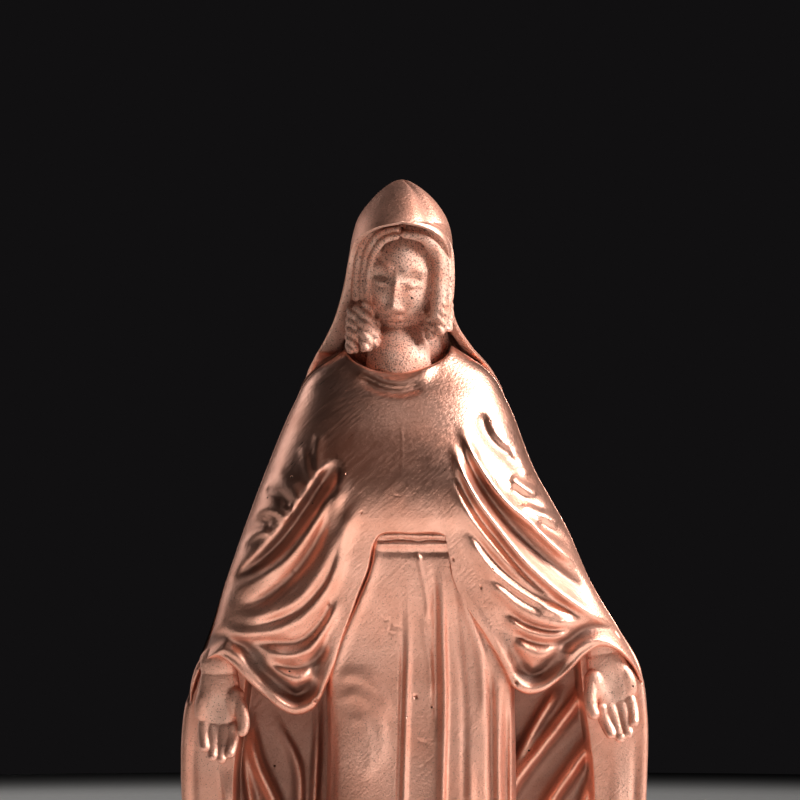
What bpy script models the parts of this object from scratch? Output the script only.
"""Madonna statuette, 150 mm tall, built from cast copper sections pinned together on an oval plinth.

The back half is one casting, the mantle. The bodice with its wide sleeves and the skirt lie on its flat
front face, each located by dowels. The head drops into the collar, the veil goes over it, the two hands
hang from the cuffs, and the whole figure is drawn down on its half globe and plinth by one tie rod.

Frame: +Z up, the figure faces -Y, origin at the centre of the felt pad's underside.
Every size below is in millimetres; meshes are written in metres.
"""

import math

import bmesh
import bpy
import numpy as np
from mathutils import Matrix, Vector

MM = 0.001

# ---------------------------------------------------------------- driving dimensions
HEIGHT = 150.0  # underside of the felt to the crown of the veil
GAP = 0.4  # joint gap between two castings
PARTING_Y = 0.8  # flat back of the front castings; the mantle starts one gap behind it
MANTLE_Y = PARTING_Y + GAP

FELT_TOP = 1.2
PLINTH_BOTTOM = FELT_TOP + 0.3
PLINTH_TOP = 9.5
GLOBE_BOTTOM = PLINTH_TOP + 0.3
GLOBE_TOP = 16.0
HEM_Z = GLOBE_TOP + GAP  # the skirt and the mantle stand on the half globe
BELT_Z = 104.4  # underside of the girdle, where the skirt starts
MANTLE_TOP = 127.0

ROD = {"x": 0.0, "y": -6.0, "radius": 2.0, "top": 40.0}
ROD_CLEARANCE = 0.4
NUT_POCKET = {"radius": 6.0, "depth": 5.0}

DOWEL_RADIUS = 1.5
DOWEL_REACH = 4.0  # how far a dowel goes into each casting
DOWEL_CLEARANCE = 0.3
BODICE_DOWELS = {"right_bodice_dowel": (-8.0, 112.0), "left_bodice_dowel": (6.0, 112.0)}
SKIRT_DOWELS = {"upper_skirt_dowel": (0.5, 92.0), "lower_skirt_dowel": (0.5, 48.0)}

NECK = {"x": -1.6, "y": -1.0, "radius": 3.8, "bottom": 124.6}
NECK_DOWEL = {"y": -2.0, "radius": 1.2, "bottom": 121.0, "top": 128.0}

HAND_Y = -4.9  # middle plane of both open hands
BORDER_Y = -2.6  # front of the mantle's hanging borders, just behind the hands
BORDER_TOP = 83.6
WRIST_DOWEL_RADIUS = 0.7

FOOT_Z = GLOBE_TOP + 0.3
FOOT_RADII = (2.4, 5.4, 2.4)
FEET = {"right_foot": (-5.0, -10.0), "left_foot": (5.2, 12.0)}  # (x, turn in degrees)

# outlines of the mantle, as (height, x), from the hem up
MANTLE_LEFT = [(16, -21.5), (40, -26.5), (60, -29.6), (72, -30.4), (80, -30.0), (86, -28.3),
               (91, -26.0), (97, -24.4), (104, -22.0), (112, -19.0), (120, -15.6), (124.5, -13.6), (127, -9.8)]
MANTLE_RIGHT = [(16, 21.5), (40, 26.5), (60, 29.8), (72, 30.5), (80, 30.5), (86, 29.4),
                (91, 26.6), (97, 23.0), (104, 19.9), (112, 15.4), (120, 12.3), (124.5, 10.3), (127, 6.6)]
MANTLE_BACK = [(16, 13.5), (40, 12.5), (70, 12.0), (95, 11.4), (112, 10.6), (122, 9.4), (127, 7.0)]
# inner edge of each hanging border, as (height, distance from the middle)
BORDER_INNER = [(16, 16.6), (40, 20.0), (70, 23.2), (84, 21.6)]

# outlines of the skirt, as (height, x), and its depth in front of the parting plane
SKIRT_LEFT = [(16, -15.0), (50, -12.0), (70, -11.4), (80, -11.2), (85.5, -10.2), (91, -7.9), (99, -5.1), (104, -4.1)]
SKIRT_RIGHT = [(16, 15.5), (50, 13.4), (70, 13.3), (80, 12.3), (86.5, 10.6), (91.5, 8.0), (99, 5.0), (104, 4.6)]
SKIRT_DEPTH = [(16, 15.5), (40, 13.8), (70, 13.3), (85, 12.5), (95, 11.0), (104, 9.5)]

# boundaries of the bodice, as (x, height)
BODICE_LEFT = [(-8.8, 127.0), (-13.0, 123.9), (-15.0, 120.5), (-19.2, 110.0), (-23.4, 98.0), (-25.4, 91.0), (-28.6, 85.0)]
BODICE_RIGHT = [(4.9, 127.6), (9.4, 124.2), (11.6, 120.5), (14.8, 111.5), (19.3, 103.5), (21.6, 97.5), (24.6, 92.5),
                (28.6, 86.0)]
NECKLINE = [(-8.8, 127.0), (-6.2, 125.3), (-2.0, 124.0), (1.8, 125.2), (4.9, 127.6)]
SLEEVE_HEM = [(-28.6, 85.0), (-24.5, 88.6), (-20.5, 85.0), (-15.4, 80.6), (-12.4, 82.4), (-10.8, 86.0), (-8.4, 91.6),
              (-5.7, 99.0), (-4.7, 104.4), (0.3, 104.9), (5.2, 104.4), (5.6, 99.0), (8.6, 91.8), (11.2, 87.0),
              (15.0, 83.2), (19.0, 85.2), (21.5, 88.4), (25.2, 89.7), (28.6, 86.0)]
BODICE_DEPTH = [(78, 6.4), (86, 7.4), (92, 8.4), (100, 9.9), (104, 10.9), (108, 11.2), (112, 10.4), (118, 8.3),
                (124, 5.4), (129, 3.4)]
BODICE_SQUARENESS = [(78, 7.0), (92, 6.0), (100, 3.4), (108, 2.7), (120, 2.2), (129, 2.0)]  # 2 is an ellipse, more is a flatter front
BODICE_EDGE = 1.0  # thickness left at the silhouette

# sections of the veil, as (height, value)
VEIL_WALL = 1.0
VEIL_LEFT = [(112, -20.0), (120, -16.6), (124.5, -14.6), (128, -12.2), (131.4, -10.4), (135.3, -9.3), (139.2, -8.6),
             (142.4, -8.0), (145, -7.1), (147.4, -5.3), (149, -3.3), (149.9, -1.5)]
VEIL_RIGHT = [(112, 16.4), (120, 13.3), (124.5, 11.3), (128, 7.9), (131.4, 5.6), (135.3, 5.1), (139.2, 5.1),
              (142.4, 4.9), (145, 4.1), (147.4, 2.4), (149, 0.6), (149.9, -1.3)]
VEIL_BACK = [(112, 12.2), (120, 11.2), (124.5, 10.2), (128, 9.9), (135, 9.8), (140, 9.8), (144, 8.4), (147.4, 5.6),
             (149, 3.2), (149.9, 1.7)]
VEIL_FRONT = [(112, 3.0), (128, -4.5), (134, -6.5), (140, -7.4), (144, -6.6), (147.4, -3.4), (149, -0.6), (149.9, 1.3)]
VEIL_OPENING = [(112, 64.0), (128, 58.0), (134, 52.0), (139, 48.0), (141.5, 38.0), (142.8, 24.0), (143.5, 0.0)]
VEIL_HEM_SIDE = 128.4
VEIL_HEM_BACK = 115.0

HEAD = {"x": -1.7, "y": -0.4, "z": 137.0, "radii": (4.9, 6.2, 7.8), "tilt_deg": 7.0}

# ---------------------------------------------------------------- finishes
FINISHES = {
    "polished_copper": ((0.80, 0.42, 0.30), 0.28, 1.0),
    "rough_copper": ((0.72, 0.43, 0.33), 0.62, 1.0),
    "steel": ((0.55, 0.55, 0.56), 0.35, 1.0),
    "felt": ((0.05, 0.03, 0.025), 0.95, 0.0),
}


def clear_scene():
    for old in list(bpy.data.objects):
        bpy.data.objects.remove(old)


def finish(name):
    """The material of that name, made on first use."""
    found = bpy.data.materials.get(name)
    if found:
        return found
    colour, roughness, metallic = FINISHES[name]
    made = bpy.data.materials.new(name)
    made.use_nodes = True
    shader = made.node_tree.nodes["Principled BSDF"]
    shader.inputs["Base Color"].default_value = (*colour, 1.0)
    shader.inputs["Roughness"].default_value = roughness
    shader.inputs["Metallic"].default_value = metallic
    return made


def collection(name):
    made = bpy.data.collections.new(name)
    bpy.context.scene.collection.children.link(made)
    return made


def add_object(name, mesh, into, slot):
    """Links a mesh as a named object, with its faces pointing out."""
    shell = bmesh.new()
    shell.from_mesh(mesh)
    bmesh.ops.remove_doubles(shell, verts=shell.verts, dist=1e-6)
    bmesh.ops.recalc_face_normals(shell, faces=shell.faces)
    shell.to_mesh(mesh)
    shell.free()
    made = bpy.data.objects.new(name, mesh)
    made.data.materials.append(finish(slot))
    into.objects.link(made)
    return made


def mesh_of(name, points, faces):
    """A mesh from points in millimetres."""
    mesh = bpy.data.meshes.new(name)
    mesh.from_pydata((np.asarray(points) * MM).tolist(), [], faces)
    return mesh


# ---------------------------------------------------------------- curves and lofts
def smooth(pairs, at):
    """A smooth curve through (position, value) pairs, by cubic Hermite pieces with averaged slopes."""
    x, y = np.array(pairs, float).T
    slope = np.diff(y) / np.diff(x)
    tangent = np.concatenate([slope[:1], (slope[1:] + slope[:-1]) / 2, slope[-1:]])
    at = np.clip(np.asarray(at, float), x[0], x[-1])
    i = np.clip(np.searchsorted(x, at, side="right") - 1, 0, len(x) - 2)
    h = x[i + 1] - x[i]
    t = (at - x[i]) / h
    return (y[i] * (2 * t**3 - 3 * t**2 + 1) + y[i + 1] * (3 * t**2 - 2 * t**3)
            + h * tangent[i] * (t**3 - 2 * t**2 + t) + h * tangent[i + 1] * (t**3 - t**2))


def curve_through(points, steps):
    """Evenly spaced points on a smooth plane curve through the given points."""
    points = np.array(points, float)
    length = np.concatenate([[0], np.cumsum(np.linalg.norm(np.diff(points, axis=0), axis=1))])
    at = np.linspace(0, length[-1], steps)
    return np.stack([smooth(list(zip(length, points[:, k])), at) for k in range(2)], axis=-1)


def loft(name, rings, into, slot):
    """A closed solid through rings of equal point counts, with a flat face at each end."""
    count = len(rings[0])
    points = np.concatenate(rings)
    faces = [[i * count + j, i * count + (j + 1) % count, (i + 1) * count + (j + 1) % count, (i + 1) * count + j]
             for i in range(len(rings) - 1) for j in range(count)]
    last = (len(rings) - 1) * count
    faces += [list(range(count)), list(range(last, last + count))]
    return add_object(name, mesh_of(name, points, faces), into, slot)


def cylinder(name, radius, base, top, into, slot, sides=24):
    """A cylinder between two points on its axis, in millimetres."""
    base, top = Vector(base) * MM, Vector(top) * MM
    shell = bmesh.new()
    bmesh.ops.create_cone(shell, cap_ends=True, segments=sides, radius1=radius * MM, radius2=radius * MM,
                          depth=(top - base).length)
    turn = (top - base).to_track_quat("Z", "Y").to_matrix().to_4x4()
    bmesh.ops.transform(shell, matrix=Matrix.Translation((base + top) / 2) @ turn, verts=shell.verts)
    mesh = bpy.data.meshes.new(name)
    shell.to_mesh(mesh)
    shell.free()
    return add_object(name, mesh, into, slot)


def ellipsoid(name, centre, radii, into, slot, turn=None, segments=24, rings=16):
    """A sphere scaled to three radii, turned and moved to its centre."""
    shell = bmesh.new()
    bmesh.ops.create_uvsphere(shell, u_segments=segments, v_segments=rings, radius=1.0)
    place = Matrix.Translation(Vector(centre) * MM) @ (turn or Matrix.Identity(4)) @ Matrix.Diagonal(
        (*(r * MM for r in radii), 1.0))
    bmesh.ops.transform(shell, matrix=place, verts=shell.verts)
    mesh = bpy.data.meshes.new(name)
    shell.to_mesh(mesh)
    shell.free()
    return add_object(name, mesh, into, slot)


def turned(name, profile, into, slot, stretch_y=1.0, steps=48):
    """A profile of (radius, height) points, outer side first from the top, spun round Z and made oval."""
    mesh = mesh_of(name, [(r, 0, z) for r, z in profile], [])
    mesh.edges.add(len(profile) - 1)
    for edge, pair in zip(mesh.edges, zip(range(len(profile)), range(1, len(profile)))):
        edge.vertices = pair
    spun = bpy.data.objects.new(name, mesh)
    into.objects.link(spun)
    spin = spun.modifiers.new("spin", "SCREW")
    spin.steps = spin.render_steps = steps
    spin.use_merge_vertices = True
    spin.merge_threshold = 1e-5
    made = bpy.data.meshes.new_from_object(spun.evaluated_get(bpy.context.evaluated_depsgraph_get()))
    bpy.data.objects.remove(spun)
    made.transform(Matrix.Diagonal((1.0, stretch_y, 1.0, 1.0)))
    made.materials.clear()
    return add_object(name, made, into, slot)


def combine(target, other, operation):
    """A Boolean of target with another object, which is kept only as a hidden cutter."""
    other.hide_render = True
    other.display_type = "WIRE"
    boolean = target.modifiers.new(other.name, "BOOLEAN")
    boolean.operation = operation
    boolean.object = other


# ---------------------------------------------------------------- the castings
def mantle(parts):
    """Back half of the figure: a loft of sections with a full round back and a flat front, whose borders
    come forward below the cuffs."""
    border_levels = [HEM_Z, 22, 30, 40, 50, 60, 68, 75, 80, BORDER_TOP]
    upper_levels = [BORDER_TOP + 0.3, 88, 92, 97, 102, 107, 112, 117, 121, 124.5, 126, MANTLE_TOP]
    turn = np.linspace(0, math.pi, 31)
    rim_y = MANTLE_Y + 0.8
    rings = []
    for z in border_levels + upper_levels:
        left, right, deep = smooth(MANTLE_LEFT, z), smooth(MANTLE_RIGHT, z), smooth(MANTLE_BACK, z)
        x = (left + right) / 2 - (right - left) / 2 * np.cos(turn)
        back = np.stack([x, rim_y + (deep - rim_y) * np.sin(turn).clip(0) ** 0.9, np.full_like(x, z)], axis=1)
        front_y = BORDER_Y if z in border_levels else MANTLE_Y
        inner = smooth(BORDER_INNER, z)
        low, high = max(-inner, left + 2.0), min(inner, right - 2.0)
        stations = [(right - 0.6, front_y), (high, front_y), (high - 0.7, MANTLE_Y), (high / 2, MANTLE_Y),
                    (0.0, MANTLE_Y), (low / 2, MANTLE_Y), (low + 0.7, MANTLE_Y), (low, front_y), (left + 0.6, front_y)]
        rings.append(np.concatenate([back, [(x, y, z) for x, y in stations]]))
    return loft("mantle", rings, parts, "polished_copper")


def skirt(parts):
    """Column of the gown from the girdle to the hem, flat behind, with a few broad folds in front."""
    levels = [HEM_Z, 20, 26, 34, 44, 54, 64, 72, 80, 85.5, 89, 93, 97, 101, BELT_Z - 0.5]
    turn = np.linspace(0, math.pi, 49)
    rings = []
    for z in levels:
        left, right = smooth(SKIRT_LEFT, z), smooth(SKIRT_RIGHT, z)
        depth = smooth(SKIRT_DEPTH, z)
        fold = 0.5 * min(1.0, (BELT_Z - z) / 20.0)
        x = (left + right) / 2 - (right - left) / 2 * np.cos(turn)
        y = PARTING_Y - 1.0 - (depth - 1.0) * np.sin(turn) ** 0.75 + fold * np.cos(9 * turn) * np.sin(turn)
        front = np.stack([x, y, np.full_like(x, z)], axis=1)
        rings.append(np.concatenate([front, [(right, PARTING_Y, z), (left, PARTING_Y, z)]]))
    return loft("skirt", rings, parts, "polished_copper")


def bodice(parts, cutters):
    """Bodice with both wide sleeves: a loft of rounded sections, flat behind, trimmed to its outline of
    neckline, arms and sleeve hems."""
    turn = np.linspace(0, math.pi, 41)
    left_edge, right_edge = ([(z, x) for x, z in reversed(edge)] for edge in (BODICE_LEFT, BODICE_RIGHT))
    rings = []
    for z in (78, 83, 88, 92, 96, 100, 104, 108, 112, 116, 120, 124, 129):
        left, right = smooth(left_edge, z) - 0.1, smooth(right_edge, z) + 0.1
        squareness = smooth(BODICE_SQUARENESS, z)
        x = (left + right) / 2 - (right - left) / 2 * np.sign(np.cos(turn)) * np.abs(np.cos(turn)) ** (2 / squareness)
        y = PARTING_Y - BODICE_EDGE - smooth(BODICE_DEPTH, z) * np.sin(turn).clip(0) ** (2 / squareness)
        front = np.stack([x, y, np.full_like(x, z)], axis=1)
        rings.append(np.concatenate([front, [(right, PARTING_Y, z), (left, PARTING_Y, z)]]))
    made = loft("bodice", rings, parts, "polished_copper")
    outline = np.concatenate([curve_through(NECKLINE, 12)[:-1], curve_through(BODICE_RIGHT, 12)[:-1],
                              curve_through(SLEEVE_HEM[::-1], 54)[:-1], curve_through(BODICE_LEFT[::-1], 12)[:-1]])
    prism = loft("bodice_outline", [np.stack([outline[:, 0], np.full(len(outline), y), outline[:, 1]], axis=1)
                                    for y in (-30.0, PARTING_Y + 10.0)], cutters, "polished_copper")
    combine(made, prism, "INTERSECT")
    return made


def veil(parts):
    """Cloth over the head: an open surface with an arched opening at the face, given its wall by Solidify.
    Its hem rests on the shoulders and falls to the shoulder blades behind."""
    across, up = np.linspace(0, 1, 41), np.linspace(0, 1, 19)
    top = VEIL_LEFT[-1][0]
    drop = np.sin(math.pi * across).clip(0, 1) ** 2.2
    hem = VEIL_HEM_SIDE + (VEIL_HEM_BACK - VEIL_HEM_SIDE) * drop
    z = hem[None, :] + (top - hem[None, :]) * (1 - (1 - up[:, None]) ** 1.35)
    opening = np.radians(smooth(VEIL_OPENING, z))
    angle = opening + (2 * math.pi - 2 * opening) * across[None, :]
    left, right = smooth(VEIL_LEFT, z), smooth(VEIL_RIGHT, z)
    front, back = smooth(VEIL_FRONT, z), smooth(VEIL_BACK, z)
    middle = (front + back) / 2
    x = (left + right) / 2 - (right - left) / 2 * np.sin(angle)
    y = middle - (back - front) / 2 * np.cos(angle)
    grid = np.stack([x, y, z], axis=-1)
    rows, columns = z.shape
    faces = [[i * columns + j, i * columns + j + 1, (i + 1) * columns + j + 1, (i + 1) * columns + j]
             for i in range(rows - 1) for j in range(columns - 1)]
    faces.append([(rows - 1) * columns + j for j in range(columns - 1)])
    made = add_object("veil", mesh_of("veil", grid.reshape(-1, 3), faces), parts, "polished_copper")
    wall = made.modifiers.new("wall", "SOLIDIFY")
    wall.thickness = VEIL_WALL * MM
    wall.offset = -1.0
    wall.use_even_offset = True
    return made


def head(parts, cutters):
    """Head and neck, tilted to her right."""
    turn = Matrix.Rotation(math.radians(HEAD["tilt_deg"]), 4, "Y")
    skull = ellipsoid("head", (HEAD["x"], HEAD["y"], HEAD["z"]), HEAD["radii"], parts, "rough_copper", turn)
    neck = cylinder("neck_core", NECK["radius"], (NECK["x"], NECK["y"], NECK["bottom"]),
                    (NECK["x"], NECK["y"], HEAD["z"]), cutters, "rough_copper")
    combine(skull, neck, "UNION")
    return skull


def capsule(name, radius, start, end, into, slot, tip=1.0):
    """A round-ended bar between the centres of its two ends; tip is the share of the radius left at the end."""
    shell = bmesh.new()
    bmesh.ops.create_uvsphere(shell, u_segments=14, v_segments=9, radius=radius * MM)
    axis = Vector(end) - Vector(start)
    for corner in shell.verts:
        if corner.co.z > 0:
            corner.co.x *= tip
            corner.co.y *= tip
            corner.co.z = corner.co.z * tip + axis.length * MM
    bmesh.ops.transform(shell, matrix=Matrix.Translation(Vector(start) * MM)
                        @ axis.to_track_quat("Z", "Y").to_matrix().to_4x4(), verts=shell.verts)
    mesh = bpy.data.meshes.new(name)
    shell.to_mesh(mesh)
    shell.free()
    return add_object(name, mesh, into, slot)


def hand(name, side, wrist, lean, parts, cutters):
    """Open hand hanging palm forward: a palm, four fingers and a thumb. side is -1 for her right hand,
    lean tips the fingers outward from straight down."""
    down = Vector((side * math.sin(lean), 0, -math.cos(lean)))
    out = Vector((side * math.cos(lean), 0, math.sin(lean)))
    wrist = Vector(wrist)
    turn = Matrix.Rotation(-side * lean, 4, "Y")
    palm = ellipsoid(name, wrist + down * 4.4, (2.5, 1.75, 4.0), parts, "rough_copper", turn, 20, 14)
    bars = {"arm": (1.6, wrist, wrist + down * 3.0, 1.0)}
    for index, (across, reach) in enumerate(((-1.65, 5.4), (-0.6, 6.3), (0.5, 6.5), (1.55, 5.6))):
        start = wrist + down * (5.3 + 0.1 * index) + out * across
        bars[f"finger_{index}"] = (0.68, start, start + down * reach + out * across * 0.12, 0.75)
    start = wrist + down * 3.2 - out * 1.4
    bars["thumb"] = (0.75, start, start + down * 4.4 - out * 1.3, 0.8)
    for part, (radius, start, end, tip) in bars.items():
        combine(palm, capsule(f"{name}_{part}", radius, start, end, cutters, "rough_copper", tip), "UNION")
    return palm


def feet(gown, parts, cutters):
    """Two bare feet on the half globe, cut flat where they stand, with a pocket for each under the hem."""
    floor = cylinder("sole_plane", 60.0, (0, 0, 0), (0, 0, FOOT_Z), cutters, "rough_copper")
    for name, (x, turn_deg) in FEET.items():
        turn = Matrix.Rotation(math.radians(turn_deg), 4, "Z")
        centre = (x, -12.4, FOOT_Z + 0.3)
        foot = ellipsoid(name, centre, FOOT_RADII, parts, "polished_copper", turn, 20, 14)
        pocket = ellipsoid(f"{name}_pocket", centre, [r + GAP for r in FOOT_RADII], cutters, "polished_copper", turn)
        combine(foot, floor, "DIFFERENCE")
        combine(gown, pocket, "DIFFERENCE")


def plinth(parts):
    """Oval plinth with a rounded foot, a hollow neck and a thin top moulding."""
    profile = [(0, PLINTH_TOP), (20.5, PLINTH_TOP), (21.3, 9.2), (21.6, 8.4), (21.3, 7.6)]
    profile += [(23.8 - 2.5 * math.cos(a), 4.9 + 2.7 * math.sin(a)) for a in np.linspace(1.2, 0.1, 5)]
    profile += [(23.4 + 1.6 * math.cos(a), 3.1 + 1.6 * math.sin(a)) for a in np.linspace(1.4, -1.57, 8)]
    profile += [(0, PLINTH_BOTTOM)]
    return turned("plinth", profile, parts, "polished_copper", stretch_y=0.82)


def globe(parts):
    """Low half globe that the figure stands on, flattened where the skirt and the feet rest."""
    rise = GLOBE_TOP - GLOBE_BOTTOM
    profile = [(0, GLOBE_TOP), (17.5, GLOBE_TOP)]
    profile += [(17.5 + 2.6 * math.sin(a), GLOBE_BOTTOM + rise * math.cos(a)) for a in np.linspace(0.35, 1.57, 6)]
    profile += [(0, GLOBE_BOTTOM)]
    return turned("globe", profile, parts, "polished_copper", stretch_y=0.9)


def felt_pad(parts):
    profile = [(0, FELT_TOP), (22.6, FELT_TOP), (22.6, 0), (0, 0)]
    return turned("felt_pad", profile, parts, "felt", stretch_y=0.82)


# ---------------------------------------------------------------- fastenings
def tie_rod(parts, cutters, drilled):
    """Threaded rod from the nut pocket up into a blind hole in the skirt, with its washer and nut."""
    x, y = ROD["x"], ROD["y"]
    pocket_top = PLINTH_BOTTOM + NUT_POCKET["depth"]
    cylinder("tie_rod", ROD["radius"], (x, y, PLINTH_BOTTOM + 0.3), (x, y, ROD["top"]), parts, "steel")
    hole = cylinder("rod_hole", ROD["radius"] + ROD_CLEARANCE, (x, y, 0.0), (x, y, ROD["top"] + 1.5), cutters, "steel")
    pocket = cylinder("nut_pocket", NUT_POCKET["radius"], (x, y, FELT_TOP + 0.1), (x, y, pocket_top), cutters, "steel")
    for casting in drilled:
        combine(casting, hole, "DIFFERENCE")
    combine(drilled[0], pocket, "DIFFERENCE")
    washer = cylinder("rod_washer", 4.6, (x, y, pocket_top - 1.1), (x, y, pocket_top - 0.3), parts, "steel")
    nut = cylinder("rod_nut", 4.0, (x, y, pocket_top - 4.2), (x, y, pocket_top - 1.4), parts, "steel", sides=6)
    for ring in (washer, nut):
        combine(ring, hole, "DIFFERENCE")


def pin(name, radius, start, end, castings, parts, cutters):
    """Dowel between two castings, with its blind holes a little wider and longer."""
    cylinder(name, radius, start, end, parts, "steel", sides=16)
    reach = (Vector(end) - Vector(start)).normalized() * DOWEL_CLEARANCE
    hole = cylinder(f"{name}_hole", radius + DOWEL_CLEARANCE, Vector(start) - reach, Vector(end) + reach, cutters,
                    "steel", sides=16)
    for casting in castings:
        combine(casting, hole, "DIFFERENCE")


def main():
    clear_scene()
    parts, cutters = collection("madonna_statue"), collection("cutters")

    cloak, gown_skirt, gown_bodice = mantle(parts), skirt(parts), bodice(parts, cutters)
    veil(parts)
    face = head(parts, cutters)
    right_hand = hand("right_hand", -1, (-24.4, HAND_Y, 84.6), math.radians(1.0), parts, cutters)
    left_hand = hand("left_hand", 1, (23.9, HAND_Y, 86.0), math.radians(12.0), parts, cutters)
    feet(gown_skirt, parts, cutters)
    base, dome = plinth(parts), globe(parts)
    felt_pad(parts)

    socket = cylinder("neck_socket", NECK["radius"] + GAP, (NECK["x"], NECK["y"], NECK["bottom"] - GAP),
                      (NECK["x"], NECK["y"], HEIGHT), cutters, "steel")
    for casting in (gown_bodice, cloak):
        combine(casting, socket, "DIFFERENCE")

    tie_rod(parts, cutters, [base, dome, gown_skirt])
    front_y, back_y = PARTING_Y - DOWEL_REACH, MANTLE_Y + DOWEL_REACH
    for casting, dowels in ((gown_bodice, BODICE_DOWELS), (gown_skirt, SKIRT_DOWELS)):
        for name, (x, z) in dowels.items():
            pin(name, DOWEL_RADIUS, (x, front_y, z), (x, back_y, z), (casting, cloak), parts, cutters)
    pin("neck_dowel", NECK_DOWEL["radius"], (NECK["x"], NECK_DOWEL["y"], NECK_DOWEL["bottom"]),
        (NECK["x"], NECK_DOWEL["y"], NECK_DOWEL["top"]), (gown_bodice, face), parts, cutters)
    pin("right_wrist_dowel", WRIST_DOWEL_RADIUS, (-24.1, HAND_Y, 83.0), (-23.0, HAND_Y, 93.0),
        (gown_bodice, right_hand), parts, cutters)
    pin("left_wrist_dowel", WRIST_DOWEL_RADIUS, (24.2, HAND_Y, 84.0), (22.8, HAND_Y, 93.4),
        (gown_bodice, left_hand), parts, cutters)


main()
